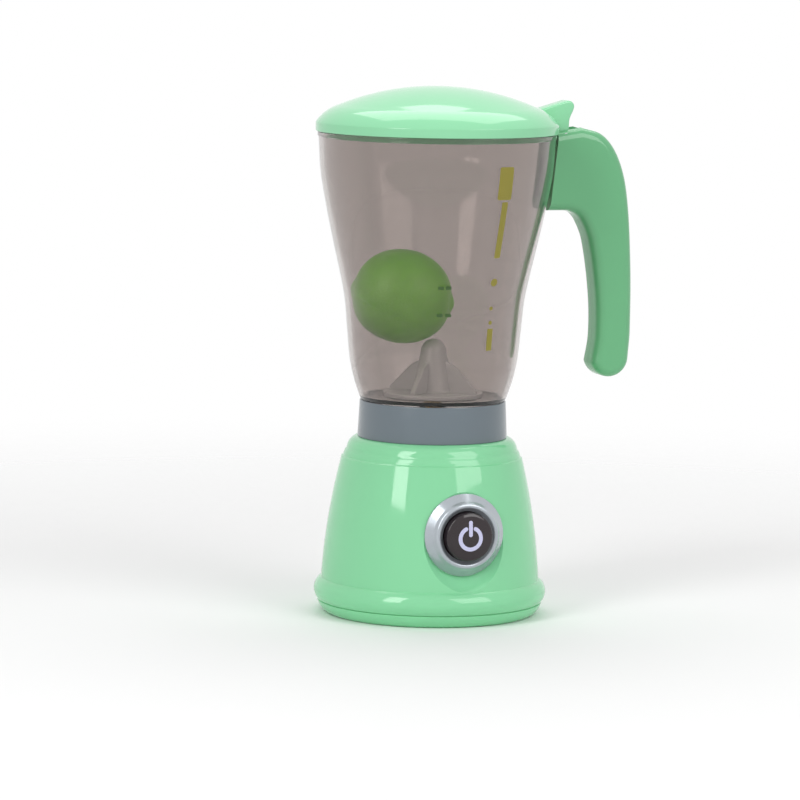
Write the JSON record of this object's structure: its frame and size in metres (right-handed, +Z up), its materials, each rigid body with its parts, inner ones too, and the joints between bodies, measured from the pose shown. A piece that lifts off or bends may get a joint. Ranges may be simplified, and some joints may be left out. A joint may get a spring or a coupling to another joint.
{
  "type": "toy blender",
  "caption": "Battery toy blender with a flared see-through jug, hinged lid with thumb tab, hooked side handle, power button and a geared stirrer.",
  "frame": {"origin": "on the axis of the base and jug, at the level the foot rim stands on", "axes": "+Z up along the jug axis; +X towards the handle; -Y towards the power button"},
  "size_m": [0.1482, 0.109, 0.2375],
  "materials": {
    "mint_shell": "gloss",
    "mint_handle": "gloss",
    "cell_jacket": "satin",
    "nickel": "satin",
    "zinc_screw": "satin",
    "silver_ring": "satin",
    "black_button": "gloss",
    "board": "satin",
    "black_part": "satin",
    "steel_pin": "polished",
    "white_nylon": "satin",
    "motor_can": "satin",
    "brass_pinion": "satin",
    "grey_collar": "satin",
    "clear_jug": "polished",
    "smoke_stirrer": "gloss",
    "lime_skin": "satin"
  },
  "bodies": {
    "base": {"base_housing": "mint_shell", "bottom_cover": "mint_shell", "battery_door": "mint_shell", "battery_door_screw": "zinc_screw", "battery_cells": "cell_jacket", "contact_plates": "nickel", "contact_springs": "nickel", "cover_screws": "zinc_screw", "button_bezel": "silver_ring", "switch_board": "board", "push_switch": "black_part", "board_screws": "zinc_screw", "gear_frame": "white_nylon", "gear_cover": "white_nylon", "frame_screws": "zinc_screw", "motor": "motor_can", "idler_axle": "steel_pin", "output_bush": "brass_pinion"},
    "power_button": {"power_button": "black_button", "switch_plunger": "black_part", "button_spring": "steel_pin"},
    "motor_rotor": {"motor_shaft": "steel_pin", "motor_pinion": "brass_pinion"},
    "idler": {"idler_gear": "white_nylon"},
    "output": {"output_gear": "white_nylon", "output_shaft": "steel_pin", "drive_dog": "black_part"},
    "jug": {"jug": "clear_jug", "jug_collar": "grey_collar", "stirrer_bush": "brass_pinion", "handle_front_half": "mint_handle", "handle_rear_half": "mint_handle", "handle_screws": "zinc_screw", "lid_hinge_pin": "steel_pin"},
    "stirrer": {"stirrer": "smoke_stirrer", "stirrer_shaft": "steel_pin", "driven_dog": "black_part"},
    "lid": {"lid": "mint_shell"},
    "lime": {"play_lime": "lime_skin"}
  },
  "joints": [
    {"name": "button_press", "type": "slide", "parent": "base", "child": "power_button", "axis": [0, 1, 0], "range_m": [0, 0.002], "stiffness_N_per_m": 250, "springref_m": -0.002, "deforming": ["button_spring"]},
    {"name": "output_spin", "type": "hinge", "parent": "base", "child": "output", "pos_m": [0, 0, 0.06], "axis": [0, 0, 1], "continuous": true},
    {"name": "idler_spin", "type": "hinge", "parent": "base", "child": "idler", "pos_m": [-0.01247, 0.0072, 0.056], "axis": [0, 0, 1], "continuous": true},
    {"name": "motor_spin", "type": "hinge", "parent": "base", "child": "motor_rotor", "pos_m": [-0.01007, 0.02079, 0.05], "axis": [0, 0, 1], "continuous": true},
    {"name": "jug_lift", "type": "slide", "parent": "base", "child": "jug", "axis": [0, 0, 1], "range_m": [0, 0.05]},
    {"name": "stirrer_spin", "type": "hinge", "parent": "jug", "child": "stirrer", "pos_m": [0, 0, 0.1], "axis": [0, 0, 1], "continuous": true},
    {"name": "lid_hinge", "type": "hinge", "parent": "jug", "child": "lid", "pos_m": [0.0593, 0, 0.2156], "axis": [0, 1, 0], "range_deg": [0, 90]},
    {"name": "lime_roll", "type": "hinge", "parent": "jug", "child": "lime", "pos_m": [0, 0, 0.143], "axis": [0, 0, 1], "continuous": true}
  ],
  "couplings": [
    {"joint": "idler_spin", "follows": "output_spin", "ratio": -3},
    {"joint": "motor_spin", "follows": "output_spin", "ratio": 10.8},
    {"joint": "stirrer_spin", "follows": "output_spin", "ratio": 1}
  ]
}
